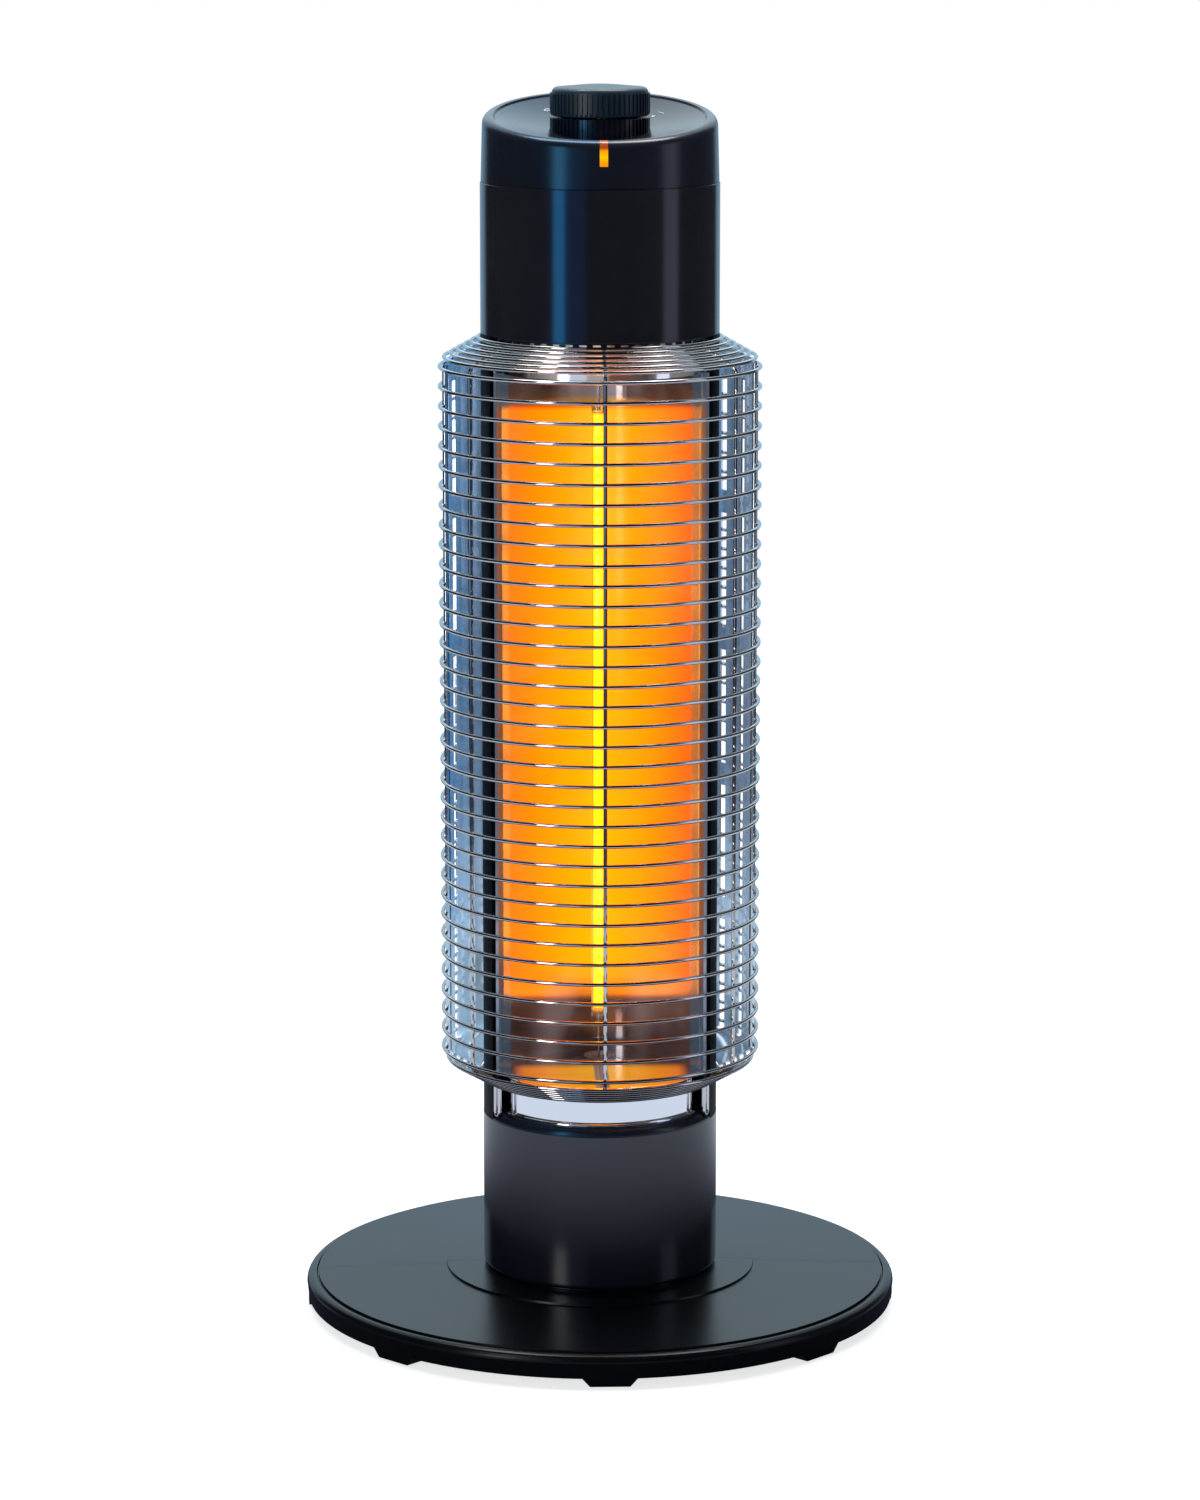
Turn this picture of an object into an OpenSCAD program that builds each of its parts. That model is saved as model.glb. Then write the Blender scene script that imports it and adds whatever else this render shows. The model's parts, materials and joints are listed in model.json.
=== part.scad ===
// Tower halogen heater. One upright quartz tube stands in a polished trough inside a
// round wire guard, between a lower and an upper housing, on a flat two-piece stand.
// Millimetres. The front faces -Y, the floor is Z = 0, and the origin is under the
// middle of the stand.

/* [Stand] */
// Outer diameter of the round stand
stand_d = 260; // [240:1:280]
// Height of the stand's plate where it meets the rim
plate_h = 15; // [14:0.5:16]
// Diameter of the raised disc round the foot of the tower
hub_d = 135.6; // [130:0.2:150]
// Number of moulded feet under the rim
foot_count = 8; // [4:2:12]
// Number of ribs that stiffen the skirt from inside
gusset_count = 24; // [12:12:36]

/* [Tower] */
// Outer diameter of the lower housing and the two posts
tower_d = 102.8; // [102:0.2:103.4]
// Wall thickness of both housings
wall = 1.6; // [1.2:0.1:1.8]
// Height of the top edge of the lower housing above the floor
lower_top = 87; // [85:0.5:89]
// Height of the bottom edge of the upper housing above the floor
sleeve_bottom = 430.5; // [430:0.5:434]
// Height of the seam between the upper housing and its cap
cap_seam = 494.8; // [490:0.2:500]

/* [Heating] */
// Outer diameter of the quartz tube
tube_d = 6.6; // [6:0.2:8]
// How far behind the tower's axis the tube stands
tube_back = 16; // [15:0.5:17]
// Half width of the trough's mouth
mouth_half = 44.7; // [43:0.1:44.8]
// Height of the polished pan's top plate
pan_top = 107.2; // [106:0.2:108]
// Diameter of the polished pan and the upper collar
pan_d = 92; // [88:0.5:92]

/* [Guard] */
// Diameter of the guard, measured at the middle of its wire
guard_d = 137.8; // [137.4:0.2:139]
// Diameter of the guard's wire
wire_d = 1.7; // [1.5:0.1:1.8]
// Number of equal rings on the straight part of the guard
ring_count = 36; // [24:1:36]
// Height of the lowest of them
ring_low = 116.4; // [116:0.1:117]
// Distance between two of them
ring_pitch = 8.56; // [8:0.02:8.56]
// Number of rings on each sloping shoulder
shoulder_count = 6; // [3:1:6]
// Columns of slots in the rear shell
slot_columns = 11; // [7:2:11]
// Rows of slots in the rear shell
slot_rows = 5; // [3:1:5]

/* [Control] */
// Diameter of the knob and of the ribbed boss under it
knob_d = 42.7; // [38:0.1:43]
// Number of ribs round the knob
rib_count = 60; // [36:2:72]
// Slope of the top, low at the front, in degrees
top_slope = 9.5; // [6:0.5:10]
// Depth of the dish in the top
dish_depth = 5.8; // [4:0.1:6]
// Direction of the pointer, in degrees from +X
pointer_angle = 38; // [0:1:88]

/* [Hidden] */
$fn = 96;

gap = 0.05;                        // clearance between pieces that only have to pass
tower_r = tower_d / 2;
tower_in = tower_r - wall;
post_r = tower_r - 0.1;
post_in = tower_in - 0.2;

// stand
stand_r = stand_d / 2;
skin = 2.6;                        // thickness of the moulded halves
skirt_low = 3.9;                   // lower edge of the skirt
hub_r = hub_d / 2;
hub_step = 0.9;                    // height of the raised disc's edge
plate_rise = 1.6;                  // rise of the plate from its rim to the raised disc
hub_top = plate_h + plate_rise + hub_step;
hub_hole_r = 46;
ballast_r = 112;
ballast_low = 6;
ballast_t = 4;
pad_t = 0.8;
foot_w = 17;                       // width of a foot at the floor
screw_r = 1.45;
base_screw_ring = 95;
column_screw_ring = 34;

// lower housing
floor_z = hub_top + 0.6;
floor_t = 2.6;
trim_top = lower_top + 3.9;
bulkhead_t = 1.6;
lower_bulkhead_z = lower_top - 2.8;
gland_z = 34;
cord_r = 3.4;

// tip-over plunger
stem_r = 2.5;
plunger_travel = 5;
clip_z = floor_z + floor_t + plunger_travel + 0.4;
bracket_z = clip_z + 14;
stem_top = bracket_z + 6;

// heating
pan_r = pan_d / 2;
sheet = 0.8;                       // pan, collar and shell are sheet metal
collar_bottom = sleeve_bottom - 16;
tube_r = tube_d / 2;
tube_bore_r = tube_r - 0.7;
lead_r = 0.5;
glow_low = 127;                    // ends of the heated length
glow_high = 395;
coil_low = glow_low + 0.3;
coil_high = glow_high - 0.3;
pinch = 10;                        // length of each flattened end of the tube
trough_t = 0.7;
mouth_y = -15;                     // plane of the trough's mouth
flange_tip = sqrt(pow(post_in - 0.1, 2) - pow(mouth_y - trough_t, 2));
// A parabola with its focus on the tube, through the edge of the mouth
focus_to_mouth = tube_back - mouth_y;
focal = (sqrt(pow(focus_to_mouth, 2) + pow(mouth_half, 2)) - focus_to_mouth) / 2;
duct_y = 36.5;
duct_r = 5;

// posts
post_front = 22;                   // degrees that a post reaches forward of the side
post_back = 20;                    // and back

// guard
wire_r = wire_d / 2;
guard_r = guard_d / 2;
ring_high = ring_low + (ring_count - 1) * ring_pitch;
mid_z = (ring_low + ring_high) / 2;
shoulder_r0 = guard_r - 1.9;       // outermost and innermost rings of a shoulder
shoulder_r1 = tower_r + 0.8;
shoulder_z0 = ring_high + 4.1;
shoulder_z1 = sleeve_bottom - 2;
shoulder_angle = atan2(shoulder_z1 - shoulder_z0, shoulder_r0 - shoulder_r1);
upright_off = wire_d - 0.05;       // uprights lie inside the rings, just fused to them
upright_angles = [-90, -90 - 57, -90 + 57];
leg_angles = [-26, -154, 26, 154];
leg_half = 1.9;                    // half the width of a leg's loop
leg_low = lower_top + 4.6;

// rear shell
shell_r = guard_r - wire_r - 0.65;
shell_edge = 4;                    // degrees that the shell reaches forward of the sides
hem_r = 1.3;
slot_w = 4;
slot_h = 51;
slot_pitch_z = 61;
slot_pitch_a = 14.2;

// upper housing and cap
sleeve_r = tower_r - 0.05;
cap_r = tower_r - 0.4;
cap_top_r = tower_r - 1.05;
lip_z = 522.9;                     // crest of the lip at the sides
fillet = 3.75;
lip_r = cap_top_r - fillet;
dish_r = lip_r - 1.7;
dish_edge = lip_z - 1;
dish_low = dish_edge - dish_depth;
cap_wall = 2.2;
lens_w = 3.4;
lens_low = 504.4;
boss_low = 509;
boss_top = 521.9;

// knob
knob_r = knob_d / 2;
rib_depth = 0.55;
knob_low = boss_top + 0.7;
knob_rib_top = 532.4;
knob_high = 536.1;
shaft_r = 3;
shaft_flat = 2.2;                  // distance of the shaft's flat from its axis
bush_r = 4.9;

black = [0.05, 0.055, 0.065];
satin_black = [0.09, 0.10, 0.12];
polished = [0.80, 0.82, 0.84];
steel = [0.60, 0.61, 0.62];
brass = [0.75, 0.62, 0.30];
ceramic = [0.86, 0.84, 0.78];
white_plastic = [0.85, 0.85, 0.83];

// Points of an arc about a centre, from angle a0 to a1
function arc(c, r, a0, a1, n) =
    [for (i = [0:n]) let (a = a0 + (a1 - a0) * i / n) [c[0] + r * cos(a), c[1] + r * sin(a)]];

function mirrored_z(p) = [p[0], 2 * mid_z - p[1]];

module at(r, a, z = 0) rotate([0, 0, a]) translate([r, 0, z]) children();

// A round tube or washer
module ring(ro, ri, h, z = 0) translate([0, 0, z]) difference() {
    cylinder(r = ro, h = h);
    translate([0, 0, -1]) cylinder(r = ri, h = h + 2);
}

// An upright wedge from angle a0 to a1, wider than the whole tower
module wedge(a0, a1, z0, z1) {
    reach = stand_d;
    translate([0, 0, z0]) linear_extrude(height = z1 - z0)
        polygon([[0, 0], for (i = [0:4]) let (a = a0 + (a1 - a0) * i / 4) [reach * cos(a), reach * sin(a)]]);
}

// The sectors that the two posts take up, grown by c all round
module post_space(c, z0, z1) for (side = [0, 180]) rotate([0, 0, side]) intersection() {
    ring(tower_r + 1, post_in - c, z1 - z0, z0);
    a = c / tower_r * 57.3;
    if (side == 0) wedge(-post_front - a, post_back + a, z0, z1);
    else wedge(-post_back - a, post_front + a, z0, z1);
}

// A pan-head screw, its head down, with the underside of the head at z = 0
module screw_up(shank, length, head, head_h) {
    cylinder(r = shank, h = length);
    difference() {
        translate([0, 0, -head_h]) cylinder(r = head, h = head_h);
        for (a = [0, 90]) rotate([0, 0, a])
            translate([-head * 0.6, -0.4, -head_h - 0.01]) cube([head * 1.2, 0.8, 1]);
    }
}

// ---------------------------------------------------------------- stand

module base_profile() polygon(concat(
    [[stand_r - 0.8, skirt_low]],
    arc([stand_r - 3.6, 10.6], 3.6, 0, 100, 8),
    [[stand_r - 4.6, 13.5], [stand_r - 5, 13.5], [stand_r - 5.1, plate_h],
     [hub_r + 0.3, plate_h + plate_rise], [hub_r, hub_top], [hub_hole_r, hub_top + 0.3],
     [hub_hole_r, hub_top + 0.3 - skin], [stand_r - 10, plate_h - skin],
     [stand_r - skin - 1, 10.4 - 1], [stand_r - skin - 1, skirt_low]]));

// One foot: a block with sloping sides, moulded inside the skirt
module foot() translate([stand_r - 0.9, 0, 0]) rotate([0, -90, 0])
    linear_extrude(height = 9)
        polygon([[pad_t * 0.6, -foot_w / 2], [skirt_low + 1, -foot_w / 2 - 4],
                 [8, -foot_w / 2 - 4], [8, foot_w / 2 + 4],
                 [skirt_low + 1, foot_w / 2 + 4], [pad_t * 0.6, foot_w / 2]]);

module base_screw_places() for (i = [0:5]) rotate([0, 0, 30 + 60 * i])
    translate([base_screw_ring, 0, 0]) children();

module base_half() difference() {
    union() {
        rotate_extrude() base_profile();
        for (i = [0:foot_count - 1]) rotate([0, 0, -90 + 360 / foot_count * i]) intersection() {
            foot();
            rotate([0, 0, -15]) wedge(0, 30, 0, 20);
        }
        for (i = [0:gusset_count - 1]) rotate([0, 0, 360 / gusset_count * (i + 0.5)])
            translate([ballast_r + 1, -0.8, skirt_low + 1.4])
                cube([stand_r - 2.4 - ballast_r - 1, 1.6, plate_h - skin - skirt_low - 0.8]);
        base_screw_places() translate([0, 0, ballast_low + ballast_t])
            cylinder(r = 4, h = plate_h - skin - ballast_low - ballast_t + 1.6);
    }
    base_screw_places() translate([0, 0, ballast_low]) cylinder(r = screw_r + gap, h = 7.5);
    for (i = [0:foot_count - 1]) rotate([0, 0, -90 + 360 / foot_count * i])
        translate([stand_r - 6, 0, -1]) cylinder(r = 3 + gap, h = 1 + pad_t);
    children();
}

module base_front_half() color(satin_black) base_half()
    translate([-stand_d, -gap * 2, -1]) cube([2 * stand_d, stand_d, 40]);

module base_rear_half() color(satin_black) base_half()
    translate([-stand_d, gap * 2 - stand_d, -1]) cube([2 * stand_d, stand_d, 40]);

module ballast_plate() color(steel) difference() {
    translate([0, 0, ballast_low]) cylinder(r = ballast_r, h = ballast_t);
    translate([0, 0, ballast_low - 1]) {
        cylinder(r = 8, h = ballast_t + 2);
        base_screw_places() cylinder(r = screw_r + 0.3, h = ballast_t + 2);
        for (i = [0:3]) rotate([0, 0, 45 + 90 * i])
            translate([column_screw_ring, 0, 0]) cylinder(r = screw_r + 0.3, h = ballast_t + 2);
    }
}

module foot_pads() color([0.03, 0.03, 0.03])
    for (i = [0:foot_count - 1]) rotate([0, 0, -90 + 360 / foot_count * i])
        translate([stand_r - 6, 0, 0]) cylinder(r = 3, h = pad_t);

module base_screws() color(steel) base_screw_places() translate([0, 0, ballast_low])
    screw_up(screw_r, 7, 3.2, 2);

// ---------------------------------------------------------------- foot of the tower

module column_foot() color(steel) difference() {
    translate([0, 0, ballast_low + ballast_t])
        cylinder(r = hub_hole_r - 0.4, h = floor_z - ballast_low - ballast_t);
    cylinder(r = stem_r + gap, h = floor_z + 1);
    for (i = [0:3]) rotate([0, 0, 45 + 90 * i]) translate([column_screw_ring, 0, 0])
        cylinder(r = screw_r + gap, h = floor_z + 1);
}

module column_screws() color(steel) for (i = [0:3]) rotate([0, 0, 45 + 90 * i])
    translate([column_screw_ring, 0, ballast_low]) screw_up(screw_r, floor_z + floor_t - ballast_low + 1, 3.2, 2);

module lower_housing() color(black) difference() {
    rotate_extrude() polygon(concat(
        [[0, floor_z], [tower_r - 1.9, floor_z]],
        arc([tower_r - 2.4, floor_z + 2.6], 2.4, -78, 0, 5),
        [[tower_r, lower_top], [tower_in, lower_top], [tower_in, floor_z + floor_t],
         [0, floor_z + floor_t]]));
    cylinder(r = 4, h = floor_z + 10);
    for (i = [0:3]) rotate([0, 0, 45 + 90 * i]) translate([column_screw_ring, 0, 0])
        cylinder(r = screw_r + gap, h = floor_z + 10);
    translate([0, tower_r - 6, gland_z]) rotate([-90, 0, 0]) cylinder(r = 6, h = 10);
}

// Rounded ring that closes the housing round the pan
module lower_trim_ring() color(black) difference() {
    rotate_extrude() polygon(concat(
        [[pan_r - 3, lower_top - 1.2], [tower_in - 0.1, lower_top - 1.2],
         [tower_in - 0.1, lower_top]],
        arc([tower_r - 3.9, lower_top], 3.8, 0, 90, 8),
        [[pan_r + 1.4, trim_top - 0.1], [pan_r + 1.2, trim_top], [pan_r - 3, trim_top]]));
    post_space(0.1, lower_top, trim_top + 1);
    for (a = leg_angles) rotate([0, 0, a])
        translate([shoulder_r1 - upright_off - wire_r - 0.1, -leg_half - wire_r - 0.1, leg_low - leg_half - wire_r - 0.1])
            cube([2 * wire_r + 0.2, 2 * (leg_half + wire_r + 0.1), 5]);
}

module lower_bulkhead() color(steel) difference() {
    translate([0, 0, lower_bulkhead_z]) cylinder(r = tower_in - 0.1, h = bulkhead_t);
    translate([0, 24, lower_bulkhead_z - 1]) cylinder(r = 5, h = bulkhead_t + 2);
    translate([0, -24, lower_bulkhead_z - 1]) cylinder(r = 9, h = bulkhead_t + 2);
}

module cord_gland() color([0.03, 0.03, 0.035]) translate([0, tower_r, gland_z]) rotate([-90, 0, 0])
    difference() {
        union() {
            translate([0, 0, -wall - 1.6]) cylinder(r = 7.6, h = 0.9);
            translate([0, 0, -wall - 0.8]) cylinder(r = 6 - gap, h = 3);
            translate([0, 0, gap]) cylinder(r = 7.4, h = 2.4);
            translate([0, 0, 2.4]) cylinder(r = 5.4, h = 2.4);
        }
        translate([0, 0, -4]) cylinder(r = cord_r, h = 12);
    }

// ---------------------------------------------------------------- tip-over switch

module tip_plunger() color(white_plastic) {
    cylinder(r = stem_r, h = stem_top);
    cylinder(r = 4.5, h = 2.4);
    translate([0, 0, clip_z]) cylinder(r = 5.6, h = 1.4);
}

// Compression spring between the plunger's clip and the bracket
module plunger_spring() color(steel) {
    turns = 6;
    steps = 14;
    coil_r = 4.4;
    spring_wire = 0.45;
    low = clip_z + 1.4 + spring_wire;
    high = bracket_z - spring_wire;
    n = turns * steps;
    points = [for (i = [0:n], k = [0:5])
        let (a = 360 * i / steps, b = 60 * k, r = coil_r + spring_wire * cos(b))
        [r * cos(a), r * sin(a), low + (high - low) * i / n + spring_wire * sin(b)]];
    faces = concat(
        [[for (k = [0:5]) k]], [[for (k = [5:-1:0]) 6 * n + k]],
        [for (i = [0:n - 1], k = [0:5]) let (a = 6 * i + k, b = 6 * i + (k + 1) % 6) [a, a + 6, b + 6, b]]);
    polyhedron(points, faces);
}

// Bent strip with a guide hole, standing on the housing's floor
module plunger_bracket() color(steel) difference() {
    z0 = floor_z + floor_t;
    union() {
        translate([-16, -6, bracket_z]) cube([32, 12, 1.2]);
        for (s = [-1, 1]) {
            translate([s > 0 ? 14.8 : -16, -6, z0]) cube([1.2, 12, bracket_z - z0 + 1.2]);
            translate([s > 0 ? 14.8 : -23, -6, z0]) cube([8.2, 12, 1.2]);
        }
    }
    cylinder(r = stem_r + 0.2, h = stem_top + 5);
}

// Small snap-action switch beside the stem, with its lever over the stem's end
module tip_switch() color([0.12, 0.12, 0.13]) {
    z = bracket_z + 1.2;
    translate([4, -3.2, z]) cube([10, 6.4, 12]);
    for (i = [0:1]) translate([6 + 4 * i, -0.4, z + 12]) cube([2, 0.8, 4]);
    translate([-3, -2, stem_top + 0.3]) cube([7.2, 4, 0.5]);
}

module lower_terminal_block() color(ceramic) difference() {
    translate([-14, 26.2, lower_bulkhead_z + bulkhead_t]) cube([28, 13.4, 8]);
    for (i = [-1, 1]) translate([9 * i, 33, lower_bulkhead_z + bulkhead_t + 5]) cylinder(r = 2, h = 5);
}

// ---------------------------------------------------------------- pan, tube and trough

// Polished drum that carries the trough, with a rolled lip round its plate and a bead at its foot
module lower_pan() color(polished) difference() {
    rotate_extrude() polygon(concat(
        [[0, pan_top - sheet], [pan_r - sheet, pan_top - sheet], [pan_r - sheet, trim_top]],
        [[pan_r + 1, trim_top]], arc([pan_r + 0.2, trim_top + 0.2], 0.8, 0, 80, 4),
        [[pan_r, trim_top + 1.5]], arc([pan_r + 0.1, pan_top], 0.7, -98, 180, 10),
        [[0, pan_top]]));
    translate([0, tube_back, pan_top - 2]) cylinder(r = 7, h = 4);
    translate([0, duct_y, pan_top - 2]) cylinder(r = duct_r - 0.8, h = 4);
    translate([-pan_r - 2, mouth_y - trough_t - 0.5, pan_top]) cube([pan_d + 4, pan_d, 2]);
}

// Ceramic holder with a flange under its plate and a blind bore for the tube's lead
module tube_holder() difference() {
    union() {
        cylinder(r = 6, h = 12);
        cylinder(r = 9, h = 2.4);
    }
    translate([0, 0, 5]) cylinder(r = lead_r + gap, h = 10);
}

module lower_tube_holder() color(ceramic)
    translate([0, tube_back, pan_top - sheet - 14.6]) {
        tube_holder();
        translate([0, 0, 12]) ring(9.5, 3.5, 2.6);
        for (s = [-1, 1]) translate([s * 8 - 1.2, -3, 2.4]) cube([2.4, 6, 12]);
    }

module upper_tube_holder() color(ceramic)
    translate([0, tube_back, collar_bottom + sheet]) difference() {
        union() {
            cylinder(r = 9.5, h = 2.6);
            cylinder(r = 6, h = 14.6);
        }
        translate([0, 0, -1]) cylinder(r = lead_r + gap, h = 10);
    }

module quartz_tube() color([0.95, 0.80, 0.55, 0.5]) translate([0, tube_back, 0]) difference() {
    union() {
        translate([0, 0, glow_low - 2]) cylinder(r = tube_r, h = glow_high - glow_low + 4);
        for (z = [glow_low - 2 - pinch, glow_high + 2])
            translate([-tube_bore_r, -1, z]) cube([2 * tube_bore_r, 2, pinch]);
    }
    translate([0, 0, glow_low]) cylinder(r = tube_bore_r, h = glow_high - glow_low);
    for (z = [glow_low - 3 - pinch, glow_high - 1]) translate([0, 0, z])
        cylinder(r = lead_r + gap, h = pinch + 4);
}

// The space that the close-wound coil takes up in the tube
module heating_coil() color([1.0, 0.75, 0.2]) translate([0, tube_back, coil_low])
    cylinder(r = tube_bore_r - 0.15, h = coil_high - coil_low);

// One lead below the coil and one above it, each through the pinched end into its holder
module tube_leads() color(steel) translate([0, tube_back, 0]) {
    bottom = pan_top - sheet - 9;
    top = collar_bottom + sheet + 8;
    translate([0, 0, bottom]) cylinder(r = lead_r, h = coil_low - bottom);
    translate([0, 0, coil_high]) cylinder(r = lead_r, h = top - coil_high);
}

// Half the mouth's width at depth y, on the parabola
function trough_x(y) = sqrt(4 * focal * (tube_back + focal - y));
function trough_point(s, off) =
    let (x = s * mouth_half, y = tube_back + focal - x * x / (4 * focal),
         n = [x / (2 * focal), 1] / norm([x / (2 * focal), 1]))
    [x + off * n[0], y + off * n[1]];

// Folded polished sheet: parabola with a flange along each edge of the mouth
module reflector_trough() color(polished) translate([0, 0, pan_top])
    linear_extrude(height = collar_bottom - pan_top) polygon(concat(
        [[-mouth_half, mouth_y - trough_t], [-flange_tip, mouth_y - trough_t],
         [-flange_tip, mouth_y]],
        [for (i = [-18:18]) trough_point(i / 18 * 0.985, trough_t)],
        [[flange_tip, mouth_y], [flange_tip, mouth_y - trough_t], [mouth_half, mouth_y - trough_t]],
        [for (i = [18:-1:-18]) trough_point(i / 18, 0)]));

module upper_collar() color(polished) difference() {
    rotate_extrude() polygon([
        [0, collar_bottom], [pan_r, collar_bottom], [pan_r, sleeve_bottom],
        [pan_r - sheet, sleeve_bottom], [pan_r - sheet, collar_bottom + sheet],
        [0, collar_bottom + sheet]]);
    translate([0, tube_back, collar_bottom - 1]) cylinder(r = 3, h = 4);
    translate([0, duct_y, collar_bottom - 1]) cylinder(r = duct_r - 0.8, h = 4);
}

module wiring_duct() color(steel) translate([0, duct_y, 0])
    ring(duct_r, duct_r - 0.8, collar_bottom - pan_top, pan_top);

module supply_wires() for (i = [0:2]) color([[0.1, 0.1, 0.1], [0.85, 0.85, 0.85], [0.5, 0.1, 0.1]][i])
    translate([0, duct_y, 0]) rotate([0, 0, 120 * i + 30]) translate([duct_r - 2, 0, lower_bulkhead_z + bulkhead_t + 8])
        cylinder(r = 1.2, h = sleeve_bottom + bulkhead_t - lower_bulkhead_z - bulkhead_t - 8);

// ---------------------------------------------------------------- posts and shell

module post(a0, a1) color(black) intersection() {
    ring(post_r, post_in, sleeve_bottom - lower_top, lower_top);
    wedge(a0, a1, lower_top - 1, sleeve_bottom + 1);
}

module right_post() post(-post_front, post_back);
module left_post() post(180 - post_back, 180 + post_front);

function shoulder_r(i) = shoulder_r0 + (shoulder_r1 - shoulder_r0) * i / (shoulder_count - 1);
function shoulder_z(i) = shoulder_z0 + (shoulder_z1 - shoulder_z0) * i / (shoulder_count - 1);
// A point on the line of the shoulder rings at radius r, moved off it by d
function shoulder_line(r, d) =
    [r, shoulder_z0 + (shoulder_r0 - r) * tan(shoulder_angle) + d / cos(shoulder_angle)];

// Half-round polished shell with sloping ends and slots, and a rolled hem at each edge
module rear_shell() color(polished) {
    clear = -wire_r - 0.75;
    flange_z = sleeve_bottom - 3.7;
    knee = shoulder_line(shell_r, clear);
    bend = [shoulder_r0 + (shoulder_line(shoulder_r0, clear)[1] - flange_z) / tan(shoulder_angle), flange_z];
    outer = [[pan_r + gap, flange_z], bend, knee];
    inner = [[shell_r - sheet, knee[1] - sheet * 0.45], [bend[0] - 0.2, flange_z - sheet],
             [pan_r + gap, flange_z - sheet]];
    hem_c = guard_r - wire_r - hem_r - gap;
    difference() {
        union() {
            intersection() {
                rotate_extrude() polygon(concat(
                    outer, [for (i = [2:-1:0]) mirrored_z(outer[i])],
                    [for (i = [2:-1:0]) mirrored_z(inner[i])], inner));
                wedge(-shell_edge, 90, 90, 440);
            }
            intersection() {
                rotate_extrude() polygon(concat(
                    outer, [for (i = [2:-1:0]) mirrored_z(outer[i])],
                    [for (i = [2:-1:0]) mirrored_z(inner[i])], inner));
                wedge(90, 180 + shell_edge, 90, 440);
            }
            for (a = [-shell_edge, 180 + shell_edge]) at(hem_c, a, mirrored_z(knee)[1] + 1)
                cylinder(r = hem_r, h = 2 * (knee[1] - mid_z) - 2);
        }
        post_space(0.3, 90, 440);
        for (c = [0:slot_columns - 1], k = [0:slot_rows - 1])
            rotate([0, 0, 90 + slot_pitch_a * (c - (slot_columns - 1) / 2)])
                translate([shell_r - 4, -slot_w / 2, mid_z - 5.7 + slot_pitch_z * (k - (slot_rows - 1) / 2) - slot_h / 2])
                    cube([8, slot_w, slot_h]);
    }
}

// ---------------------------------------------------------------- guard

module wire_ring(r, z) translate([0, 0, z]) rotate_extrude() translate([r, 0]) circle(r = wire_r, $fn = 24);

// One third of the equal rings, counted from the bottom
module guard_rings(third) color(polished) {
    share = ceil(ring_count / 3);
    for (i = [third * share:min(ring_count, (third + 1) * share) - 1])
        wire_ring(guard_r, ring_low + i * ring_pitch);
}

module guard_rings_low() guard_rings(0);
module guard_rings_middle() guard_rings(1);
module guard_rings_high() guard_rings(2);

module guard_top_rings() color(polished)
    for (i = [0:shoulder_count - 1]) wire_ring(shoulder_r(i), shoulder_z(i));

module guard_bottom_rings() color(polished)
    for (i = [0:shoulder_count - 1]) wire_ring(shoulder_r(i), 2 * mid_z - shoulder_z(i));

// A wire bent in an upright plane: points [x, z] of its centreline, with square ends
module bent_wire(path, r, sides = 12) {
    n = len(path);
    // direction of the wire at each point, and the way across it
    along = [for (i = [0:n - 1]) let (d = path[min(i + 1, n - 1)] - path[max(i - 1, 0)]) d / norm(d)];
    points = [for (i = [0:n - 1], k = [0:sides - 1]) let (a = 360 / sides * k)
        [path[i][0] + r * cos(a) * along[i][1], r * sin(a), path[i][1] - r * cos(a) * along[i][0]]];
    faces = concat(
        [[for (k = [sides - 1:-1:0]) k]], [[for (k = [0:sides - 1]) sides * (n - 1) + k]],
        [for (i = [0:n - 2], k = [0:sides - 1]) let (a = sides * i + k, b = sides * i + (k + 1) % sides)
            [a, b, b + sides, a + sides]]);
    polyhedron(points, faces);
}

// Wires inside the rings that follow the straight part and both shoulders
module guard_uprights() color(polished) for (a = upright_angles) rotate([0, 0, a]) {
    bend_r = 3;
    turn = 90 - shoulder_angle;
    straight = guard_r - upright_off;
    // the sloping part runs under the shoulder's rings
    foot = [shoulder_r0 - upright_off * sin(shoulder_angle), shoulder_z0 - upright_off * cos(shoulder_angle)];
    tip = [shoulder_r1 - upright_off * sin(shoulder_angle), shoulder_z1 - upright_off * cos(shoulder_angle)];
    bend_end = straight - bend_r * (1 - cos(turn));
    bend_z = foot[1] + (foot[0] - bend_end) * tan(shoulder_angle) - bend_r * sin(turn);
    upper = concat(arc([straight - bend_r, bend_z], bend_r, 0, turn, 5), [tip]);
    bent_wire(concat([for (i = [len(upper) - 1:-1:0]) mirrored_z(upper[i])], upper), wire_r);
}

// Loops that hold the lowest ring in the trim ring
module guard_legs() color(polished) for (a = leg_angles) rotate([0, 0, a]) {
    r = shoulder_r1 - upright_off;
    top = 2 * mid_z - shoulder_z1 + 0.6;
    half = leg_half;
    low = leg_low;
    for (s = [-1, 1]) translate([r, s * half, low]) {
        cylinder(r = wire_r, h = top - low, $fn = 24);
        translate([0, 0, top - low]) sphere(r = wire_r, $fn = 24);
    }
    translate([r, 0, low]) rotate([90, 0, 90]) rotate([0, 0, 180]) intersection() {
        rotate_extrude() translate([half, 0]) circle(r = wire_r, $fn = 24);
        translate([-5, 0, -2]) cube([10, 5, 4]);
    }
}

// ---------------------------------------------------------------- upper housing

// Castellated ring in the mouth of the upper housing
module vent_ring() color(black) difference() {
    teeth = 52;
    ring(tower_in - 0.6, tower_in - 2.2, 3.7, sleeve_bottom - 3.7);
    for (i = [0:teeth - 1]) rotate([0, 0, 360 / teeth * (i + 0.5)])
        translate([tower_in - 4, -1.65, sleeve_bottom - 2.6]) cube([6, 3.3, 1.9]);
    post_space(0.2, sleeve_bottom - 10, sleeve_bottom + 1);
}

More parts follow.
